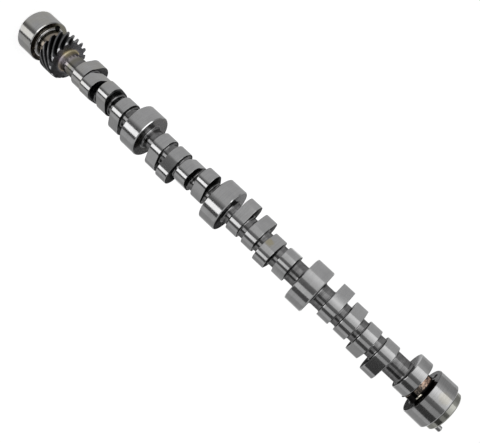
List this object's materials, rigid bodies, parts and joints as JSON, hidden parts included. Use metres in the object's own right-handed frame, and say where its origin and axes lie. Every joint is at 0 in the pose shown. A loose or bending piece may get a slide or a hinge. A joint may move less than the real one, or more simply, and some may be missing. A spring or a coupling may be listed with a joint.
{
  "type": "engine camshaft",
  "caption": "Ground steel engine camshaft with bearing journals, valve lobes, fuel pump eccentric and helical distributor gear, with a dowel in its stepped front hub.",
  "frame": {"origin": "centre of the flat end face of the rear journal", "axes": "+Z along the shaft towards the timing end, +X from the axis to the timing dowel"},
  "size_m": [0.0474, 0.0474, 0.557],
  "materials": {
    "ground_steel": "ground and polished on the running surfaces, dark and as-turned between them, with heat tint beside the gear",
    "pin_steel": "centreless ground"
  },
  "bodies": {
    "root": {"camshaft": "ground_steel", "timing_dowel_pin": "pin_steel"}
  },
  "joints": []
}
